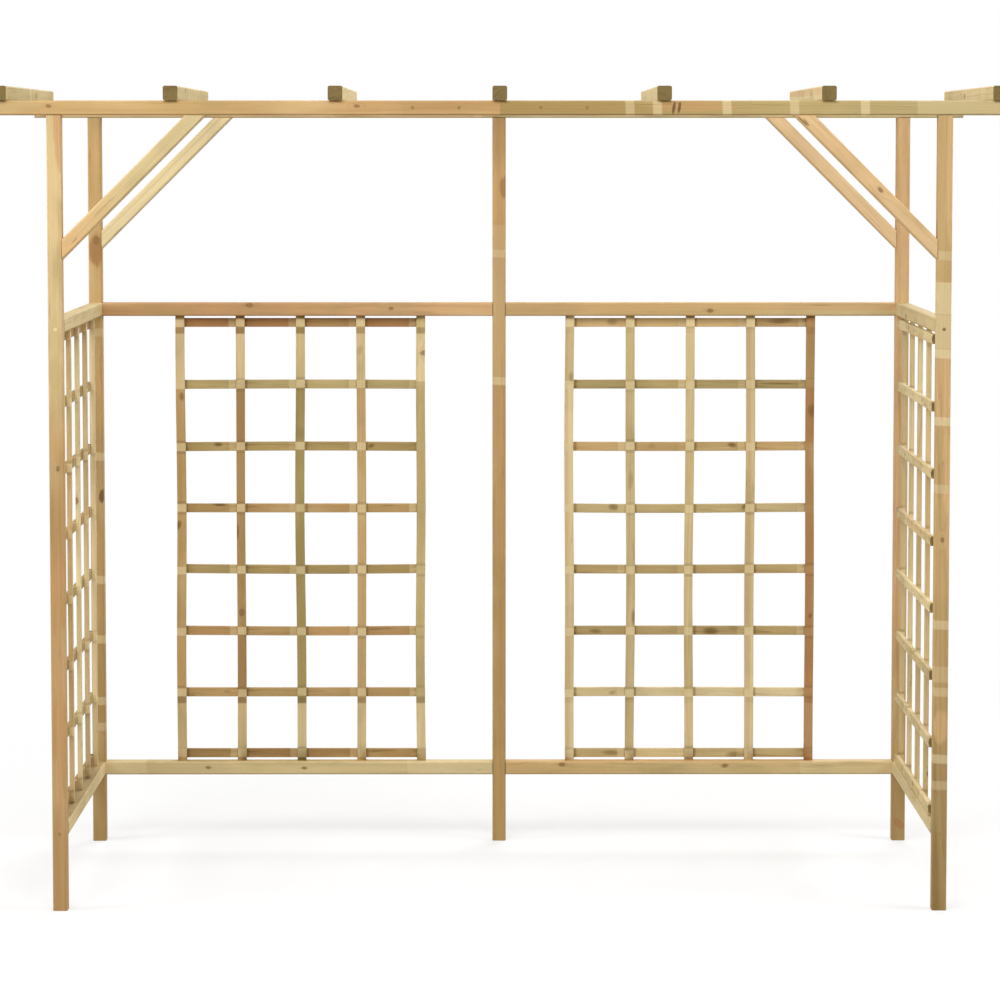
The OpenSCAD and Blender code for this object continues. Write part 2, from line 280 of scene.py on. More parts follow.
def make_knot_group():
    """One branch that grew out through a timber. Place is along, across and deep in the timber."""
    tree, k, given, sink = new_group(
        "knot", {"Place": "v", "At": "v", "Radius": "f", "Turn": "f"},
        {"Core": "f", "Rim": "f", "Bend": "f", "Rings": "f"})
    pith_soft = 0.004
    # How much the square of a distance along the grain counts, for the outline and for the bend of the rings
    outline_squeeze = 0.42
    bend_squeeze = 0.10
    outline_stray = 0.0036
    rim_w = 0.0014
    ring_rate = 5200.0
    a, u, v = k.split(given["Place"])
    along, across, lean = k.split(given["At"])
    turn = Value(k, given["Turn"])
    radius = Value(k, given["Radius"])
    # The branch runs outwards at this angle, and only on one side of the pith.
    out = u * k.math("COSINE", turn) + v * k.math("SINE", turn)
    wide = v * k.math("COSINE", turn) - u * k.math("SINE", turn) - across
    da = a - along - out * lean
    # Its outline is longer along the grain, and the rings bend round it over a longer stretch still.
    wobble = k.noise(k.join(a * 120, u * 160, v * 160), 2)[0] - 0.5
    far = k.math("SQRT", da * da * outline_squeeze + wide * wide) + wobble * outline_stray
    there = k.step(out, -pith_soft, pith_soft)
    core = k.fall(far, radius - 0.0016, radius + 0.0008) * there
    rim = k.fall(abs(far - radius), 0.0001, rim_w) * there
    reach = k.math("SQRT", da * da * bend_squeeze + wide * wide) / radius
    bend = k.math("EXPONENT", reach * reach * -0.55) * there * radius * 1.7
    rings = k.math("SINE", far * ring_rate) * 0.5 + 0.5
    k.send({"Core": core, "Rim": rim, "Bend": bend, "Rings": rings}, sink)
    return tree


def make_fleck_group():
    """A lens of other wood, such as heartwood that shows through, or a branch cut lengthwise."""
    tree, k, given, sink = new_group(
        "fleck", {"Place": "v", "At": "v", "Size": "v", "Slant": "f", "Soft": "f"}, {"Mask": "f"})
    a, u, v = k.split(given["Place"])
    along, across, deep = k.split(given["At"])
    half_a, half_u, half_v = k.split(given["Size"])
    da = (a - along - (u - across) * Value(k, given["Slant"])) / half_a
    du = (u - across) / half_u
    dv = (v - deep) / half_v
    ragged = (k.noise(k.join(a * 22, u * 130, v * 130), 2)[0] - 0.5) * 1.1
    far = da * da + du * du + dv * dv + ragged
    soft = Value(k, given["Soft"])
    full_within = 0.45 - soft * 0.40
    none_beyond = soft * 0.70 + 1.20
    k.send({"Mask": k.fall(far, full_within, none_beyond)}, sink)
    return tree


def make_pine_group():
    """Planed pine as a solid texture, so that each face and each cut end shows its own grain."""
    tree, k, given, sink = new_group(
        "pine",
        {"Place": "v", "Seed": "f", "Tint": "c", "Heart": "c", "Vein": "c", "Band": "f", "End": "f",
         "Edge": "f", "StainAndShade": "f", "Streak": "f", "Spike": "f", "Core": "f", "Rim": "f", "Bend": "f",
         "Rings": "f"},
        {"Color": "c", "Roughness": "f", "Height": "f"})
    # Where the pith lies and how far it leans and wavers, in metres
    pith_range_u = 0.070
    pith_range_v = 0.050
    pith_depth = 0.018
    lean_range_u = 0.024
    lean_range_v = 0.018
    waver_u = 0.016
    waver_v = 0.012
    # Least width of a year's ring and radius of the heartwood, and how much more they can be
    ring_least = 0.0024
    ring_spread = 0.0022
    heart_least = 0.004
    heart_spread = 0.034
    heart_soft = 0.0020
    # Heights and depths on the surface, for the bump
    late_rise = 0.00007
    fibre_rise = 0.00005
    rub_rise = 0.0002
    sawn_rise = 0.0003
    check_depth = 0.0005
    rim_depth = 0.0002
    crack_depth = 0.0005
    a, u, v = k.split(given["Place"])
    seed = Value(k, given["Seed"])
    pith_u, pith_v, lean_u = k.random(seed)
    lean_v, ring_size, heart_size = k.random(seed + 31.7)
    # Growth rings round a pith line that leans a little through the timber
    wx, wy, wz = k.split(k.noise(k.join(a * 1.7 + seed * 4.1, u * 9, v * 9), 2)[1])
    du = u - (pith_u - 0.5) * pith_range_u + (lean_u - 0.5) * a * lean_range_u + (wx - 0.5) * waver_u
    dv = v - (pith_v - 0.5) * pith_range_v - pith_depth
    dv = dv + (lean_v - 0.5) * a * lean_range_v + (wy - 0.5) * waver_v
    pith = k.math("SQRT", du * du + dv * dv)
    radius = pith + Value(k, given["Bend"])
    phase = radius / (ring_size * ring_spread + ring_least) + (wz - 0.5) * 0.5
    ring = k.math("FLOOR", phase)
    part = phase - ring
    ring_mood = k.random(ring + seed * 3.3)[0]
    late = (k.step(part, 0.35, 0.90) - k.step(part, 0.90, 1.0)) * (ring_mood * 0.75 + 0.25)
    # Fibres and streaks along the grain
    fibre = k.noise(k.join(a * 16, u * 620, v * 620), 3, 0.6)[0]
    streak = k.noise(k.join(a * 2.2 + seed, u * 70, v * 70), 3)[0]
    cloud = k.noise(k.join(a * 3.4 + seed * 2.0, u * 12, v * 12), 2)[0]
    patch = k.noise(k.join(a * 6.5 - seed, u * 22, v * 22), 2)[0]
    zone = k.noise(k.join(a * 2.3 + seed * 3.0, seed, 0.0), 0)[0]
    # Sapwood, greener in patches where it took up more preservative, round the redder heartwood
    colour = k.mix(k.step(patch, 0.50, 0.74) * 0.34, given["Tint"], OLIVE)
    colour = k.mix(k.step(cloud, 0.50, 0.72) * 0.30, colour, CREAM)
    inner = heart_size * heart_spread + heart_least + (streak - 0.5) * 0.008
    heart = k.fall(pith, inner - heart_soft, inner + heart_soft)
    colour = k.mix(heart * 0.66, colour, given["Heart"])
    colour = k.mix(Value(k, given["Streak"]) * 0.80, colour, given["Vein"])
    colour = k.mix(late * 0.20, colour, LATE)
    zone_light = (k.step(zone, 0.47, 0.53) - 0.5) * 0.08
    shade = (fibre - 0.5) * 0.14 + (streak - 0.5) * 0.30 + zone_light + 1.0
    colour = k.mix(1.0, colour, k.join(shade, shade, shade), "MULTIPLY")
    # Pale bands where stacked battens kept the preservative off the wood
    colour = k.mix(given["Band"], colour, k.mix(late * 0.18, PALE, TAN))
    # Stains at the crossings, and painted shade beside the uprights on the slats and on faces that look up
    # near the ground
    colour = k.mix(Value(k, given["StainAndShade"]) * (patch * 0.8 + 0.35), colour, STAIN_AND_SHADE)
    # Knots
    core = Value(k, given["Core"])
    rim = Value(k, given["Rim"])
    halo = k.step(given["Bend"], 0.0012, 0.0085)
    colour = k.mix(halo * 0.30, colour, BROWN)
    colour = k.mix(core * 0.80, colour, k.mix(given["Rings"], KNOT, KNOT_RING))
    colour = k.mix(rim * 0.42, colour, RIM)
    colour = k.mix(Value(k, given["Spike"]) * 0.85, colour, RIM)
    # Fine drying checks along the grain
    line = abs(k.noise(k.join(a * 1.9 - seed * 7.0, u * 85, v * 85), 1)[0] - 0.5)
    where = k.step(k.noise(k.join(a * 5.0 + seed * 9.0, u * 30, v * 30), 1)[0], 0.60, 0.68)
    check = k.fall(line, 0.002, 0.007) * where
    colour = k.mix(check * 0.45, colour, DARK)
    # Cut ends drink more preservative and show the rings and a few radial cracks
    end = Value(k, given["End"])
    turned = k.math("ARCTAN2", du, dv)
    crack_noise = k.noise(k.join(turned * 9.0, seed, radius * 12), 1)[0]
    crack = k.fall(abs(crack_noise - 0.5), 0.003, 0.014) * k.step(radius, 0.006, 0.02)
    cut = k.mix(late * 0.45, END, END_LATE)
    cut = k.mix(k.step(patch, 0.40, 0.68) * 0.4, cut, END_OLIVE)
    cut = k.mix(crack * 0.5, cut, CRACK)
    colour = k.mix(end, colour, cut)
    # Eased edges hold a little dirt
    edge = Value(k, given["Edge"])
    rub = k.noise(k.join(a * 40 + seed, u * 90, v * 90), 2)[0]
    colour = k.mix(edge * k.step(rub, 0.30, 0.75) * 0.20, colour, BROWN)
    rough = fibre * 0.20 + 0.56 + end * 0.15 - core * 0.12
    height = late * late_rise + fibre * fibre_rise - check * check_depth - rim * rim_depth
    height = height - crack * end * crack_depth + rub * edge * rub_rise
    sawn = k.noise(k.join(a * 300, u * 700, v * 700), 2)[0]
    height = height + sawn * end * sawn_rise
    k.send({"Color": colour, "Roughness": rough, "Height": height}, sink)
    return tree


KNOT_GROUP = make_knot_group()
FLECK_GROUP = make_fleck_group()
PINE_GROUP = make_pine_group()


def start_material(name):
    """A new material without nodes, and its maker."""
    material = bpy.data.materials.new(name)
    material.use_nodes = True
    material.node_tree.nodes.clear()
    return material, Maker(material.node_tree)


def end_material(k, colour, rough, height, metallic=0.0, specular=0.26):
    bump = k.put("ShaderNodeBump", {"Strength": 1.0, "Distance": 1.0, "Height": height}).outputs[0]
    shader = k.put("ShaderNodeBsdfPrincipled", {"Base Color": colour, "Roughness": rough, "Normal": bump,
                                                "Metallic": metallic, "Specular IOR Level": specular})
    k.send({"Surface": shader.outputs[0]}, k.tree.nodes.new("ShaderNodeOutputMaterial"))


def add_knots(k, place, knots):
    """Joins the knots of one timber. Each is along, across, direction in degrees and radius.

    Direction 0 is across and 90 is deep, so that 270 is the front of a post or a beam.
    """
    total = {"Core": 0.0, "Rim": 0.0, "Bend": 0.0, "Rings": 0.0}
    for along, across, turn, radius in knots:
        lean = 0.25 * math.sin(along * 37.0 + turn)
        made = k.group(KNOT_GROUP, {"Place": place, "At": (along, across, lean),
                                    "Radius": radius, "Turn": math.radians(turn)})
        made["Rings"] = made["Rings"] * made["Core"]
        for key in total:
            total[key] = k.math("MAXIMUM", total[key], made[key])
    return total


def fleck(k, place, at, long, wide, slant, soft=0.0):
    """Mask of one fleck, from the place of its middle, its half length, half width and slant."""
    made = k.group(FLECK_GROUP, {"Place": place, "At": at, "Size": (long, wide, FLECK_DEPTH),
                                 "Slant": slant, "Soft": soft})
    return made["Mask"]


def add_flecks(k, place, flecks):
    """Joins the flecks of one timber. Each is along, across, deep, half length, half width and slant."""
    return k.most([fleck(k, place, one[:3], *one[3:]) for one in flecks])


def band_shape(k, off, width=BAND_W):
    """1 within a band's width, with slightly soft sides."""
    return k.fall(off, width / 2 - 0.0025, width / 2 + 0.0015)


def chance_bands(k, along, seed, first, share):
    """Pale bands at the slats' pitch, of which some are missing and each has its own strength."""
    turn = (along - first) / SLAT_PITCH + 0.5
    number = k.math("FLOOR", turn)
    off = abs(turn - number - 0.5) * SLAT_PITCH
    chance, strength = k.random(number * 7.3 + seed)[:2]
    shown = k.step(chance, 1.0 - share, 1.02 - share)
    return band_shape(k, off) * shown * (strength * 0.35 + 0.20)


def pale_marks(k, along, bands, stretches):
    """Pale bands at given places along the timber, each with its own strength, and longer pale stretches."""
    masks = []
    for place in bands:
        strength = 0.53 + 0.17 * math.sin(place * 57.0)
        masks.append(band_shape(k, abs(along - place)) * strength)
    for start, end, strength in stretches:
        masks.append(band_shape(k, abs(along - (start + end) / 2), end - start) * strength)
    return k.most(masks)


# Finish of each square timber, by name
WOOD = {}


def wood(name, seed, low, high, heart, vein=RUSSET, change=(-1.0, 1.0), bands=(), stretches=(), chance=None,
         knots=(), streaks=(), spikes=(), top_shade=0.0):
    """Sets the finish of one square timber.

    Its sapwood goes from the low tint to the high one between the two places of change. On the posts the
    darker low tint near the ground is partly the wood's own tone and partly painted shade. Heart is the tint
    of its heartwood, and vein that of its streaks. Places along a timber are in metres in the frame, and
    those along a brace are counted from its middle. Bands are the places of pale bands. A stretch is a
    longer pale place: its start, its end and its strength. Chance gives bands at the slats' pitch instead:
    the place of one, and the share of them that shows. Knots are as in add_knots and streaks as in
    add_flecks, and so are spikes, which are branches cut lengthwise. Top shade is how much painted shade
    darkens the faces that look up.
    """
    WOOD[name] = {"seed": seed, "low": low, "high": high, "heart": heart, "vein": vein, "change": change,
                  "bands": bands, "stretches": stretches, "chance": chance, "knots": knots,
                  "streaks": streaks, "spikes": spikes, "top_shade": top_shade}


# The posts go from a darker tint near the ground to a paler one higher up: partly the wood's own tone,
# partly painted shade for the light that falls off towards the ground.
wood("post_front_left", 3.1, AMBER, SAND, RUSSET, vein=PINK, change=(1.10, 1.32),
     knots=[(1.10, 0.004, 270, 0.004), (0.42, -0.006, 180, 0.006)],
     streaks=[(1.93, 0.011, FRONT, 0.110, 0.012, 0.0), (0.83, 0.002, FRONT, 0.060, 0.014, 2.0),
              (0.50, 0.003, FRONT, 0.340, 0.009, 0.0)])
wood("post_front_right", 5.2, DUSK, HONEY, TAN, vein=APRICOT, change=(0.20, 0.66),
     stretches=[(1.372, 1.396, 0.80), (1.206, 1.228, 0.75), (1.48, 1.56, 0.68), (1.396, 1.48, 0.58),
                (0.57, 0.61, 0.35)],
     bands=[0.313, 0.379, 0.546, 0.713, 1.050, 1.625],
     knots=[(0.92, 0.006, 250, 0.004), (1.72, 0.0, 20, 0.006)],
     streaks=[(1.82, 0.011, FRONT, 0.200, 0.008, 0.0), (1.30, 0.002, FRONT, 0.095, 0.034, 0.0),
              (1.10, 0.010, FRONT, 0.120, 0.012, 0.0), (0.46, 0.0, FRONT, 0.045, 0.020, 0.0)])
wood("post_rear_left", 7.7, OCHRE, HONEY, BROWN, vein=AUBURN, change=(0.4, 1.5),
     bands=[0.314, 0.385, 0.554, 0.717, 1.053, 1.390],
     knots=[(1.642, 0.006, 265, 0.007), (0.75, 0.004, 100, 0.007)],
     streaks=[(1.610, 0.004, FRONT, 0.045, 0.022, 0.0)], spikes=[(0.946, 0.014, FRONT, 0.020, 0.011, 0.5)])
wood("post_rear_centre", 9.4, OCHRE, HONEY, AMBER, vein=AUBURN, change=(0.6, 1.4), bands=[1.258, 1.603],
     stretches=[(1.27, 1.68, 0.18)], knots=[(0.55, -0.005, 85, 0.007)],
     streaks=[(1.782, 0.017, FRONT, 0.034, 0.018, 0.0)])
wood("post_rear_right", 12.6, OCHRE, PEACH, APRICOT, change=(0.08, 0.80), chance=(0.52, 0.15),
     knots=[(1.20, 0.0, 120, 0.006)], streaks=[(0.048, 0.0, FRONT, 0.014, 0.018, -0.6)])
wood("beam_front_left", 15.9, HONEY, AMBER, AMBER, change=(-0.75, -0.42),
     knots=[(-1.105, 0.005, 268, 0.004), (-0.345, 0.003, 275, 0.004), (-0.75, 0.0, 80, 0.008)])
wood("beam_front_right", 18.3, LODEN, SAGE, AMBER, vein=AMBER, change=(0.15, 1.05),
     bands=[0.318, 0.385, 0.555, 0.720, 0.893], stretches=[(1.02, 1.27, 0.32)],
     knots=[(0.95, 0.0, 95, 0.008)],
     streaks=[(0.47, 0.004, FRONT, 0.110, 0.014, 0.0)],
     spikes=[(0.4250, 0.0, FRONT, 0.0042, 0.0160, 0.15), (0.4385, 0.001, FRONT, 0.0040, 0.0150, 0.15)])
wood("beam_rear_left", 21.1, STRAW, STRAW, PEACH, chance=(-0.90, 0.35),
     knots=[(-0.62, 0.004, 90, 0.008), (-0.22, 0.0, 200, 0.007)])
wood("beam_rear_right", 24.8, CREAM, STRAW, TAN, chance=(0.40, 0.35),
     knots=[(0.30, -0.004, 95, 0.008), (0.88, 0.0, 20, 0.007)])
wood("splice_block", 27.2, STRAW, STRAW, TAN, chance=(0.05, 0.30), knots=[(0.11, 0.004, 90, 0.007)])
wood("rafter_1", 30.5, SAGE, SAGE, STRAW, chance=(0.00, 0.30), knots=[(0.10, 0.0, 0, 0.007)])
wood("rafter_2", 33.8, STRAW, SAGE, SAGE, chance=(-0.12, 0.45), knots=[(-0.22, 0.003, 20, 0.005)])
wood("rafter_3", 36.1, CREAM, STRAW, STRAW, chance=(0.06, 0.40), knots=[(0.28, 0.0, 60, 0.006)])
wood("rafter_4", 39.6, STRAW, STRAW, TAN, chance=(0.14, 0.40), knots=[(-0.05, 0.0, 90, 0.007)])
wood("rafter_5", 42.3, CREAM, STRAW, STRAW, chance=(-0.05, 0.45), knots=[(0.17, 0.002, 185, 0.005)])
wood("rafter_6", 45.7, CREAM, CREAM, PEACH, chance=(0.10, 0.50), knots=[(-0.16, 0.0, 170, 0.005)])
wood("rafter_7", 48.9, STRAW, STRAW, TAN, chance=(-0.08, 0.45), knots=[(0.05, 0.003, 175, 0.006)])
wood("brace_front_left", 51.4, APRICOT, STRAW, SAND, change=(-0.25, 0.05), knots=[(0.05, 0.004, 100, 0.004)])
wood("brace_front_right", 54.2, BLUSH, APRICOT, APRICOT, vein=UMBER,
     knots=[(-0.030, 0.004, 268, 0.0045), (-0.09, 0.0, 80, 0.005)],
     streaks=[(0.226, -0.013, FRONT, 0.018, 0.0028, 0.0), (0.216, -0.009, FRONT, 0.012, 0.0025, 1.2)])
wood("brace_rear_left", 57.6, PALE, PALE, APRICOT, knots=[(0.02, 0.003, 80, 0.004)])
wood("brace_rear_right", 60.3, BLUSH, BLUSH, APRICOT, knots=[(-0.04, 0.0, 100, 0.005)])
wood("rail_rear_top_left", 63.8, PINK, PEACH, RUSSET, change=(-0.8, 0.0),
     knots=[(-0.290, 0.003, 268, 0.004), (-0.670, 0.010, 275, 0.006), (-0.55, 0.0, 90, 0.007)])
wood("rail_rear_top_right", 66.5, TAN, STRAW, PEACH, change=(0.5, 1.1),
     knots=[(0.66, -0.004, 95, 0.007), (0.566, -0.004, 270, 0.005)])
wood("rail_rear_bottom_left", 69.9, STRAW, STRAW, TAN, stretches=[(-1.08, -0.96, 0.50), (-0.25, 0.0, 0.50)],
     knots=[(-0.793, 0.004, 262, 0.004), (-0.533, -0.003, 280, 0.004)])
wood("rail_rear_bottom_right", 72.4, TAN, SAND, PEACH, change=(0.1, 0.6), stretches=[(0.82, 1.08, 0.35)],
     knots=[(0.167, 0.009, 272, 0.005), (0.611, 0.007, 268, 0.005)])
wood("rail_side_top_left", 75.1, CREAM, STRAW, STRAW, chance=(0.10, 0.20), knots=[(0.12, 0.004, 95, 0.006)])
wood("rail_side_top_right", 78.6, STRAW, STRAW, SAGE, chance=(-0.20, 0.10),
     knots=[(0.170, 0.006, 185, 0.006)])
# Painted shade darkens the top face of this rail, under the trellis
wood("rail_side_bottom_left", 81.3, STRAW, STRAW, TAN, top_shade=0.6, chance=(0.15, 0.30),
     knots=[(-0.10, 0.0, 180, 0.006)])
wood("rail_side_bottom_right", 84.7, CREAM, STRAW, SAGE, chance=(0.05, 0.35),
     knots=[(0.22, 0.003, 10, 0.006)])


def axis_vector(axis):
    """The direction of axis 0, 1 or 2."""
    return Vector([1.0 if i == axis else 0.0 for i in range(3)])


# The axes across and deep in a straight timber, by the axis that it runs along
CROSS_AXES = {0: (2, 1), 1: (0, 2), 2: (0, 1)}


def grain_axes(name):
    """Directions along, across and deep in a timber."""
    if name.startswith("brace"):
        side = 1.0 if name.endswith("right") else -1.0
        along = Vector((-side, 0, 1)).normalized()
        deep = axis_vector(1)
        return along, deep.cross(along), deep
    size = span(name)
    long = max(range(3), key=lambda i: size[i])
    across, deep = CROSS_AXES[long]
    return axis_vector(long), axis_vector(across), axis_vector(deep)


def along_direction(direction, parts):
    """How far a position, or how much a direction, goes along a direction."""
    total = None
    for i in range(3):
        if abs(direction[i]) > 1e-6:
            term = parts[i] * direction[i]
            total = term if total is None else total + term
    return total


def edge_mask(k, u, v, half_u, half_v, ease):
    """1 on the eased long edges."""
    over = abs(u) + abs(v) - (half_u + half_v)
    return k.step(over, -1.15 * ease, -0.72 * ease)


def timber_material(name):
    facts = WOOD[name]
    seed = facts["seed"]
    material, k = start_material("wood_" + name)
    place = k.place()
    facing = k.facing()
    along, across, deep = grain_axes(name)
    origin = middle(name)
    if name.startswith("brace"):
        # The middle of a brace's box lies on its long edge.
        origin += across * (HALF if name.endswith("right") else -HALF)
    else:
        # The place along a straight timber is counted in the frame, where its bands and knots are given.
        origin -= along * origin.dot(along)
    a, u, v = [along_direction(axis, place) - origin.dot(axis) for axis in (along, across, deep)]
    vector = k.join(a, u, v)
    skewed = a + u * 0.05
    if facts["chance"]:
        pale = chance_bands(k, skewed, seed, *facts["chance"])
    else:
        pale = pale_marks(k, skewed, facts["bands"], facts["stretches"])
    change = k.step(a, *facts["change"])
    low_heart = k.mix(0.6, facts["low"], facts["heart"])
    made = {"Place": vector, "Seed": seed, "Band": pale, "Vein": facts["vein"],
            "End": k.step(abs(along_direction(along, facing)), 0.80, 0.92),
            "Tint": k.mix(change, facts["low"], facts["high"]),
            "Heart": k.mix(change, low_heart, facts["heart"]),
            "Edge": edge_mask(k, u, v, HALF, HALF, ARRIS),
            # Painted shade on faces that look up, as strong as the timber's top shade
            "StainAndShade": k.step(facing[2], 0.70, 0.90) * facts["top_shade"],
            "Streak": add_flecks(k, vector, facts["streaks"]),
            "Spike": add_flecks(k, vector, facts["spikes"])}
    made.update(add_knots(k, vector, facts["knots"]))
    out = k.group(PINE_GROUP, made)
    end_material(k, out["Color"], out["Roughness"], out["Height"])
    return material


def dress(obj, material):
    obj.data.materials.clear()
    obj.data.materials.append(material)


def dress_node(name, material):
    """A CAD node keeps its mesh and gets a new material."""
    obj = nodes[name]
    if not obj.material_slots:
        obj.data.materials.append(material)
    for one in obj.material_slots:
        one.material = material


for name in WOOD:
    dress_node(name, timber_material(name))


# Trellises

def add_object(name, data):
    obj = bpy.data.objects.new(name, data)
    bpy.context.scene.collection.objects.link(obj)
    return obj


def cross_axis(panel):
    """The axis across a panel: 0 in the rear and 1 at the sides."""
    return 0 if panel.startswith("rear") else 1


# Sizes of the waves that bow the battens, in metres
SIDE_WAVE = 0.0024
SIDE_DRIFT = 0.0022
LIFT_WAVE = 0.0016
LIFT_DRIFT = 0.0010


def sway(panel, across, height):
    """Small bow of the battens, the same for all that is nailed together there, and none at the rails."""
    seed = 1.7 * PANELS.index(panel) + 0.6
    z = (height - PANEL_LOW) / (PANEL_TOP - PANEL_LOW)
    hold = math.sin(math.pi * min(max(z, 0.0), 1.0))
    side = (SIDE_WAVE * math.sin(9.0 * across + seed * 3.1) * math.sin(2.2 * math.pi * z + seed)
            + SIDE_DRIFT * math.sin(17.0 * across - seed))
    lift = (LIFT_WAVE * math.sin(6.5 * across + seed * 2.3) * math.cos(7.0 * z + seed)
            + LIFT_DRIFT * math.sin(13.0 * z + 4.0 * seed))
    return hold * side, hold * lift


def cut_stretches(work, name, axis, number):
    """Cuts the mesh of a node's battens into stretches, so that they can bend."""
    lo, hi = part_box(name)
    for i in range(1, number):
        at = Vector((0, 0, 0))
        at[axis] = lo[axis] + (hi[axis] - lo[axis]) * i / number
        bmesh.ops.bisect_plane(work, geom=work.verts[:] + work.edges[:] + work.faces[:],
                               plane_co=at, plane_no=axis_vector(axis))


def bowed_copy(name, panel):
    """A copy of a trellis node with the battens' small bow."""
    cross = cross_axis(panel)
    centre = middle("uprights_" + panel)[cross]
    mesh = nodes[name].data.copy()
    obj = add_object("trellis_" + name, mesh)
    work = bmesh.new()
    work.from_mesh(mesh)
    bmesh.ops.remove_doubles(work, verts=work.verts, dist=1e-6)
    if name.startswith("uprights"):
        cut_stretches(work, name, 2, UPRIGHT_STRETCHES)
    elif name.startswith("slats"):
        cut_stretches(work, name, cross, SLAT_STRETCHES)
    for vert in work.verts:
        side, lift = sway(panel, vert.co[cross] - centre, vert.co.z)
        vert.co[cross] += side
        vert.co.z += lift
    work.to_mesh(mesh)
    work.free()
    for face in mesh.polygons:
        face.use_smooth = True
    mesh.set_sharp_from_angle(angle=math.radians(30))
    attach(obj, "root")
    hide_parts(name)
    return obj


# Tints of each panel's uprights, counted from -X or -Y, and of its slats, counted from the lowest
UPRIGHT_TINTS = {
    "rear_left": (HONEY, BROWN, OLIVE, TAN, SAGE),
    "rear_right": (CREAM, STRAW, STRAW, CREAM, RUSSET),
    "side_left": (CREAM, SAND, PALE, PALE, PALE),
    "side_right": (PALE, SAND, PALE, CREAM, STRAW),
}
SLAT_TINTS = {
    "rear_left": (BROWN, HONEY, AMBER, MOSS, AMBER, MOSS, SAGE, RUSSET),
    "rear_right": (STRAW, PALE, SAGE, SAGE, STRAW, TAN, SAGE, SAND),
    # The left side panel's slats are darker as painted shade on their faces between the uprights, most of
    # all on the lowest slat
    "side_left": (UMBER, OLIVE, BROWN, OLIVE, BROWN, OLIVE, OLIVE, BROWN),
    "side_right": (STRAW, CREAM, STRAW, CREAM, STRAW, CREAM, CREAM, CREAM),
}
# Knots and stains on the rear panels' battens. Each gives its place counted in uprights from the left and in
# slats from the lowest, both starting with 0, then how far it is off the batten's middle line in metres, up
# on a slat and to the right on an upright, half length, half width and strength.
SLAT_MARKS = {
    "rear_left": ((0.62, 5, 0.005, 0.012, 0.006, 1.0), (3.17, 5, 0.001, 0.008, 0.006, 1.0),
                  (0.64, 4, 0.009, 0.018, 0.004, 1.0), (0.75, 1, 0.002, 0.010, 0.006, 0.4)),
    "rear_right": ((0.70, 7, 0.000, 0.014, 0.009, 0.6), (3.50, 7, 0.004, 0.034, 0.008, 0.8),
                   (3.50, 6, 0.002, 0.060, 0.003, 0.8), (1.37, 5, 0.001, 0.012, 0.010, 0.5),
                   (1.55, 5, 0.000, 0.070, 0.018, 0.3), (2.71, 5, 0.003, 0.012, 0.007, 1.0),
                   (0.73, 4, 0.002, 0.013, 0.009, 0.8), (2.91, 4, 0.003, 0.006, 0.009, 0.9),
                   (0.43, 2, -0.001, 0.016, 0.007, 0.8), (2.36, 2, -0.001, 0.021, 0.010, 1.0),
                   (0.72, 1, -0.002, 0.010, 0.006, 0.6), (0.70, 0, 0.000, 0.024, 0.008, 0.7),
                   (2.80, 0, -0.005, 0.030, 0.009, 0.8)),
}
UPRIGHT_MARKS = {
    "rear_left": ((0, 5.81, 0.004, 0.012, 0.007, 0.8), (0, 3.73, -0.007, 0.012, 0.009, 1.0),
                  (1, 3.63, -0.010, 0.022, 0.005, 0.9), (2, 5.21, 0.000, 0.020, 0.016, 0.35),
                  (3, 6.55, -0.003, 0.014, 0.012, 0.35)),
    "rear_right": ((0, 6.12, 0.004, 0.016, 0.008, 0.6), (1, 4.45, 0.002, 0.026, 0.008, 0.4),
                   (1, 2.22, 0.010, 0.022, 0.005, 0.8), (4, 5.58, 0.005, 0.018, 0.011, 0.8),
                   (4, 2.25, 0.003, 0.007, 0.006, 0.8)),
}
# How much paler the end bays of a panel's uprights are
PALE_ENDS = {"rear_left": 0.75, "rear_right": 0.20, "side_left": 0.20, "side_right": 0.30}


def pick(k, number, tints):
    """The tint with this number, the first one being number 0."""
    node = k.put("ShaderNodeValToRGB", {0: (number + 0.5) / len(tints)})
    ramp = node.color_ramp
    ramp.interpolation = "CONSTANT"
    for i, colour in enumerate(tints):
        if i < 2:
            stop = ramp.elements[i]
            stop.position = i / len(tints)
        else:
            stop = ramp.elements.new(i / len(tints))
        stop.color = colour
    return node.outputs[0]


def upright_tone(k, panel, column, height):
    """Tints of the uprights, whose end bays are paler up to a sharp line a little inside the crossing."""
    shift_down = 0.010
    edge_soft = 0.003
    tone = pick(k, column + MIDDLE_UPRIGHT, UPRIGHT_TINTS[panel])
    off = abs(height - (FIRST_SLAT + OUTER_SLAT - shift_down))
    start = SLAT_PITCH * 2.60
    stop = OUTER_SLAT - 0.022
    ends = k.step(off, start, start + SLAT_PITCH * 0.03) * k.fall(off, stop, stop + edge_soft)
    return k.mix(ends * PALE_ENDS[panel], tone, CREAM)


def upright_crossings(k, panel, crossing, column, row, chances):
    """Pale squares on the uprights where the slats cross, and the stains beside and below them."""
    pale, dark, shift = chances
    half = BATTEN_W / 2
    shift_range = 0.005
    edge_soft = 0.003
    off = abs(crossing + (shift - 0.5) * shift_range)
    band = k.fall(off, half - edge_soft, half) * (pale * 0.25 + 0.55)
    if panel.startswith("rear"):
        # The outer right upright is almost plain.
        band = band * (1.0 - k.step(column, 1.4, 1.6) * 0.9)
    darkening = k.fall(abs(off - half - edge_soft), 0.0015, 0.0055) * k.step(dark, 0.30, 0.80) * 0.40
    # Darker strips below the crossings of the top slat and the second-lowest, each 3 rows from row 4
    below = crossing * -1.0
    strip = k.step(below, half, half + 0.001) * k.fall(below, 0.026, 0.030)
    strip_row = k.math("COMPARE", abs(row - 4.0), 3.0, 0.1)
    darkening = k.math("MAXIMUM", darkening, strip * strip_row * PALE_ENDS[panel] * 0.70)
    return band, darkening


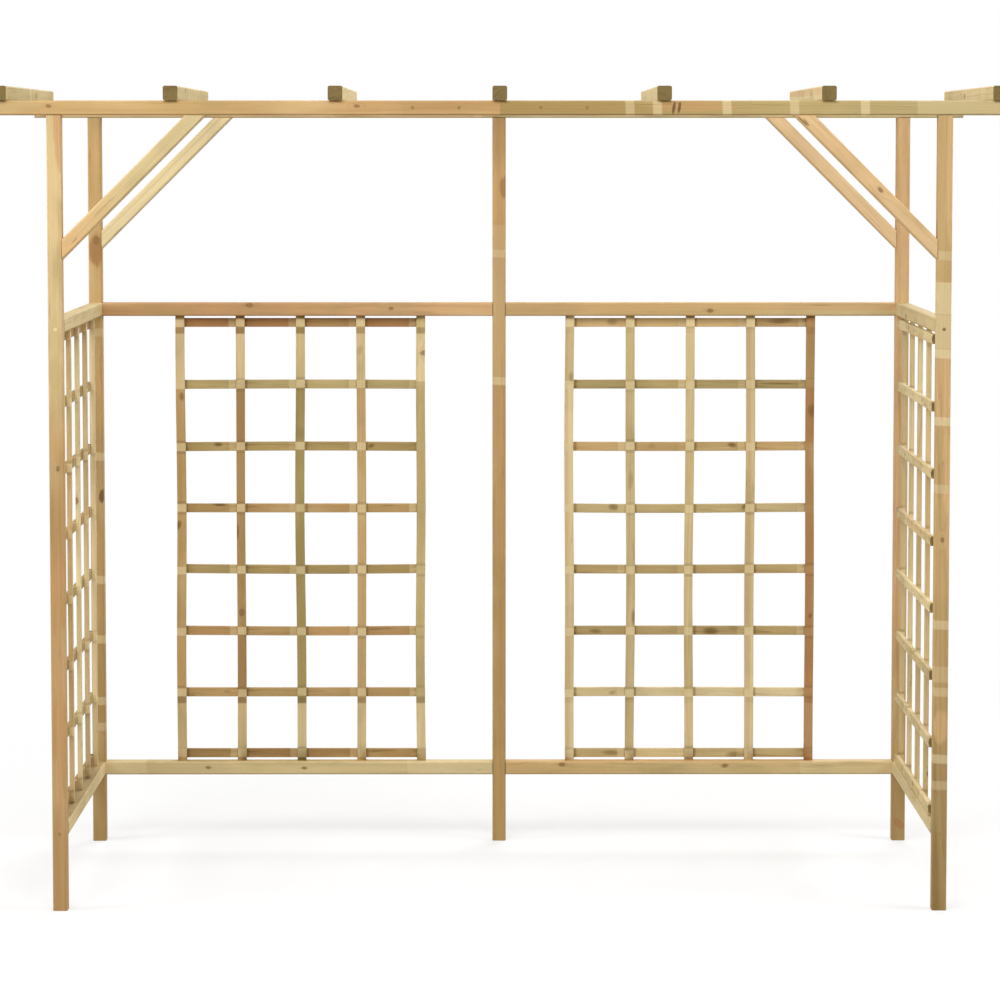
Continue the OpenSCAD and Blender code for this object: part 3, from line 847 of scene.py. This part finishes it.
def slat_crossings(k, panel, crossing, chances):
    """A pale band on the slats beside each upright, and painted shade: dark lines on the slats along the
    upright's sides.
    """
    pale, there = chances[:2]
    half = BATTEN_W / 2
    beside = abs(crossing + BATTEN_W * 0.95)
    band = k.fall(beside, 0.0080, 0.0110) * (pale * 0.35 + 0.25) * k.step(there, 0.12, 0.2)
    # Painted shade on the slat along both sides of the upright, where the upright shades it
    right = crossing - half
    right_strength = 0.70 if panel.startswith("rear") else 0.35
    darkening = k.step(right, 0.0, 0.001) * k.fall(right, 0.003, 0.010) * right_strength
    left = crossing * -1.0 - half
    darkening = darkening + k.step(left, 0.0, 0.001) * k.fall(left, 0.0008, 0.0028) * 0.40
    return band, darkening


def batten_knots(k, panel, a, u, depth, seed, phase):
    """A knot now and then, other ones on each batten. The rear panels have listed marks, and so fewer."""
    cell = k.math("FLOOR", a / KNOT_CELL + phase * 3.0)
    where, size, turn = k.random(cell * 3.1 + seed)
    knot_a = (cell + 0.2 + where * 0.6 - phase * 3.0) * KNOT_CELL
    place = k.join(a - knot_a, u + (where - 0.5) * 0.012, depth)
    knot = k.group(KNOT_GROUP, {"Place": place, "At": (0.0, 0.0, 0.1), "Radius": size * 0.004 + 0.002,
                                "Turn": turn * 6.28})
    rarity = 0.84 if panel.startswith("rear") else 0.60
    shown = k.step(size, rarity, rarity + 0.02)
    return {"Core": knot["Core"] * shown, "Rim": knot["Rim"] * shown, "Bend": knot["Bend"] * shown,
            "Rings": knot["Rings"]}


def batten_marks(k, panel, upright, across, height, depth):
    """The listed knots and stains of one node's battens."""
    place = k.join(height, across, depth) if upright else k.join(across, height, depth)
    listed = UPRIGHT_MARKS if upright else SLAT_MARKS
    masks = []
    for i, (column, row, off, long, wide, strength) in enumerate(listed.get(panel, ())):
        at_across = (column - MIDDLE_UPRIGHT) * UPRIGHT_PITCH
        at_height = FIRST_SLAT + row * SLAT_PITCH
        at = (at_height, at_across + off, 0.0) if upright else (at_across, at_height + off, 0.0)
        masks.append(fleck(k, place, at, long, wide, 0.5 * math.sin(i * 2.1), soft=1.0) * strength)
    return k.most(masks)


def batten_material(name, panel):
    """Battens of one node, told apart by where they are, with the marks of the battens across them."""
    seed = 101.0 + 36.0 * PANELS.index(panel)
    upright = name.startswith("uprights")
    cross = cross_axis(panel)
    material, k = start_material("wood_" + name)
    place = k.place()
    facing = k.facing()
    across = place[cross] - middle("uprights_" + panel)[cross]
    height = place[2]
    depth = place[1 - cross] - middle(name)[1 - cross]
    column = k.math("ROUND", across / UPRIGHT_PITCH)
    row = k.math("ROUND", (height - FIRST_SLAT) / SLAT_PITCH)
    off_column = across - column * UPRIGHT_PITCH
    off_row = height - FIRST_SLAT - row * SLAT_PITCH
    if upright:
        number, other, a, u, crossing = column, row, height, off_column, off_row
        bay = k.math("FLOOR", (height - FIRST_SLAT) / SLAT_PITCH)
        tone = upright_tone(k, panel, column, height)
    else:
        number, other, a, u, crossing = row, column, across, off_row, off_column
        bay = k.math("FLOOR", across / UPRIGHT_PITCH)
        tone = pick(k, row, SLAT_TINTS[panel])
    own_seed = number * 5.7 + seed + (0.0 if upright else 60.0)
    phase, batten_light = k.random(own_seed * 1.3)[1:]
    green, bay_light = k.random(bay * 2.9 + number * 1.7 + seed)[:2]
    tone = k.mix(k.step(green, 0.45, 0.80) * 0.35, tone, MOSS)
    light = batten_light * 0.10 + bay_light * 0.10 + 0.90
    tone = k.mix(1.0, tone, k.join(light, light, light), "MULTIPLY")
    chances = k.random(number * 11.0 + other * 3.7 + seed)
    if upright:
        band, darkening = upright_crossings(k, panel, crossing, column, row, chances)
    else:
        band, darkening = slat_crossings(k, panel, crossing, chances)
    made = {"Place": k.join(a, u, depth), "Seed": own_seed, "Band": band, "StainAndShade": darkening, "Spike": 0.0,
            "Tint": tone, "Heart": k.mix(0.35, tone, RUSSET), "Vein": BARK,
            "End": k.step(abs(facing[2 if upright else cross]), 0.80, 0.92),
            "Edge": edge_mask(k, u, depth, BATTEN_W / 2, BATTEN_T / 2, BATTEN_ARRIS),
            "Streak": batten_marks(k, panel, upright, across, height, depth)}
    made.update(batten_knots(k, panel, a, u, depth, own_seed, phase))
    out = k.group(PINE_GROUP, made)
    end_material(k, out["Color"], out["Roughness"], out["Height"])
    return material


def zinc_material(name, clean, dull, on_frame=False):
    """Plated steel with fine scratches and a little tarnish."""
    material, k = start_material(name)
    x, y, z = k.place()
    spot = k.noise(k.join(x * 900, y * 900, z * 900), 3)[0]
    fine = k.noise(k.join(x * 4000, y * 4000, z * 900), 2)[0]
    colour = k.mix(k.step(spot, 0.35, 0.70), clean, dull)
    if on_frame:
        # The screws at the top rails on the left get a painted highlight, as the photo shows it of the one
        # in the front post. Those near the ground have nearly the wood's colour.
        bright = k.fall(x, -1.05, -1.0) * k.step(z, 1.2, 1.3) * k.fall(z, 1.6, 1.7)
        colour = k.mix(bright, colour, SCREW_PAINTED_HIGHLIGHT)
        colour = k.mix(k.fall(z, 0.3, 0.4) * 0.8, colour, LODEN)
    end_material(k, colour, spot * 0.25 + 0.36, fine * 0.00002, metallic=0.9, specular=0.5)
    return material


screw_zinc = zinc_material("zinc_screws", SCREW_CLEAN, SCREW_DULL, on_frame=True)
nail_zinc = zinc_material("zinc_nails", NAIL_CLEAN, NAIL_DULL)

for panel in PANELS:
    for kind in ("uprights_", "slats_"):
        dress(bowed_copy(kind + panel, panel), batten_material(kind + panel, panel))
    dress(bowed_copy("nails_" + panel, panel), nail_zinc)

for name in nodes:
    if name.endswith("_screws"):
        dress_node(name, screw_zinc)


# Studio

FLOOR_W = 60.0
FLOOR_FRONT = -30.0
FLOOR_BACK = 16.0
BACKDROP_H = 24.0
BACKDROP_TURN = 4.0
TURN_STEPS = 12
# The floor lies this far under the feet, so that they don't share a plane
FLOOR_DROP = 0.0005
WHITE = (1.0, 1.0, 1.0, 1.0)
FLOOR_PAINT = (0.95, 0.95, 0.95, 1.0)
FLOOR_BOUNCE = (0.36, 0.355, 0.345, 1.0)


def seen_directly(k):
    """1 for rays from the camera, also by way of gloss or glass, and 0 for those of the soft light."""
    path = k.put("ShaderNodeLightPath", {}).outputs
    kinds = ("Is Camera Ray", "Is Glossy Ray", "Is Transmission Ray")
    return k.most([Value(k, path[kind]) for kind in kinds])


def floor_material():
    """White paint that keeps the object's shadow, as bright as the backdrop further off."""
    material, k = start_material("studio_pale")
    x, y = k.place()[:2]
    away = k.step(k.math("SQRT", x * x + y * y), 1.4, 3.6) * 0.50 + 0.50
    bounce = k.put("ShaderNodeBsdfDiffuse", {"Color": FLOOR_BOUNCE}).outputs[0]
    paint = k.put("ShaderNodeBsdfDiffuse", {"Color": FLOOR_PAINT}).outputs[0]
    glow = k.put("ShaderNodeEmission", {"Color": WHITE, "Strength": 1.0}).outputs[0]
    shown = k.put("ShaderNodeMixShader", {0: away, 1: paint, 2: glow}).outputs[0]
    both = k.put("ShaderNodeMixShader", {0: seen_directly(k), 1: bounce, 2: shown}).outputs[0]
    k.send({"Surface": both}, k.tree.nodes.new("ShaderNodeOutputMaterial"))
    return material


def studio_floor():
    """Pale floor that sweeps up into a backdrop far behind the object."""
    bend = FLOOR_BACK - BACKDROP_TURN
    profile = [(FLOOR_FRONT, 0.0), (bend, 0.0)]
    for i in range(1, TURN_STEPS + 1):
        angle = math.pi / 2 * i / TURN_STEPS
        y = bend + BACKDROP_TURN * math.sin(angle)
        profile.append((y, BACKDROP_TURN - BACKDROP_TURN * math.cos(angle)))
    profile.append((FLOOR_BACK, BACKDROP_H))
    verts = []
    for y, z in profile:
        verts += [(-FLOOR_W / 2, y, z - FLOOR_DROP), (FLOOR_W / 2, y, z - FLOOR_DROP)]
    faces = [(2 * i, 2 * i + 1, 2 * i + 3, 2 * i + 2) for i in range(len(profile) - 1)]
    mesh = bpy.data.meshes.new("studio_floor")
    mesh.from_pydata(verts, [], faces)
    for face in mesh.polygons:
        face.use_smooth = True
    mesh.materials.append(floor_material())
    add_object("studio_floor", mesh)


def studio_world():
    """White background, and a softer light from all around."""
    world = bpy.data.worlds.new("studio_world")
    bpy.context.scene.world = world
    world.use_nodes = True
    world.node_tree.nodes.clear()
    k = Maker(world.node_tree)
    soft = k.put("ShaderNodeBackground", {"Color": WHITE, "Strength": 0.40}).outputs[0]
    white = k.put("ShaderNodeBackground", {"Color": WHITE, "Strength": 1.0}).outputs[0]
    both = k.put("ShaderNodeMixShader", {0: seen_directly(k), 1: soft, 2: white}).outputs[0]
    k.send({"Surface": both}, k.tree.nodes.new("ShaderNodeOutputWorld"))


def area_light(name, where, at, size, watts):
    lamp = bpy.data.lights.new(name, "AREA")
    lamp.shape = "RECTANGLE"
    lamp.size, lamp.size_y = size
    lamp.energy = watts
    obj = add_object(name, lamp)
    obj.location = where
    obj.rotation_mode = "QUATERNION"
    obj.rotation_quaternion = (Vector(at) - Vector(where)).to_track_quat("-Z", "Y")


studio_floor()
studio_world()
area_light("light_top_front", (-0.8, -3.6, 4.6), (0, 0, 1.4), (5.0, 2.2), 160)
area_light("light_left", (-6.5, -1.5, 3.2), (0, 0, 1.2), (3.0, 2.4), 190)
area_light("light_right", (6.5, -1.5, 3.2), (0, 0, 1.2), (3.0, 2.4), 190)
area_light("light_rear", (1.5, 5.0, 4.5), (0, 0, 1.2), (4.0, 2.0), 190)


# Camera at the photograph's place: in front of the middle, 1.9 m above the ground, with a long lens

def place_camera():
    data = bpy.data.cameras.new("photo_camera")
    data.sensor_width = 36.0
    data.sensor_fit = "HORIZONTAL"
    data.lens = 116.645
    data.shift_y = -0.15
    data.clip_start = 0.1
    data.clip_end = 200.0
    obj = add_object("photo_camera", data)
    obj.location = (-0.0199, -8.355, 1.900)
    down = math.radians(3.653)
    yaw = math.radians(-0.147)
    obj.rotation_euler = (math.pi / 2 - down, 0.0, yaw)
    bpy.context.scene.camera = obj


place_camera()
bpy.context.scene.view_settings.view_transform = "Standard"

bpy.context.view_layer.update()
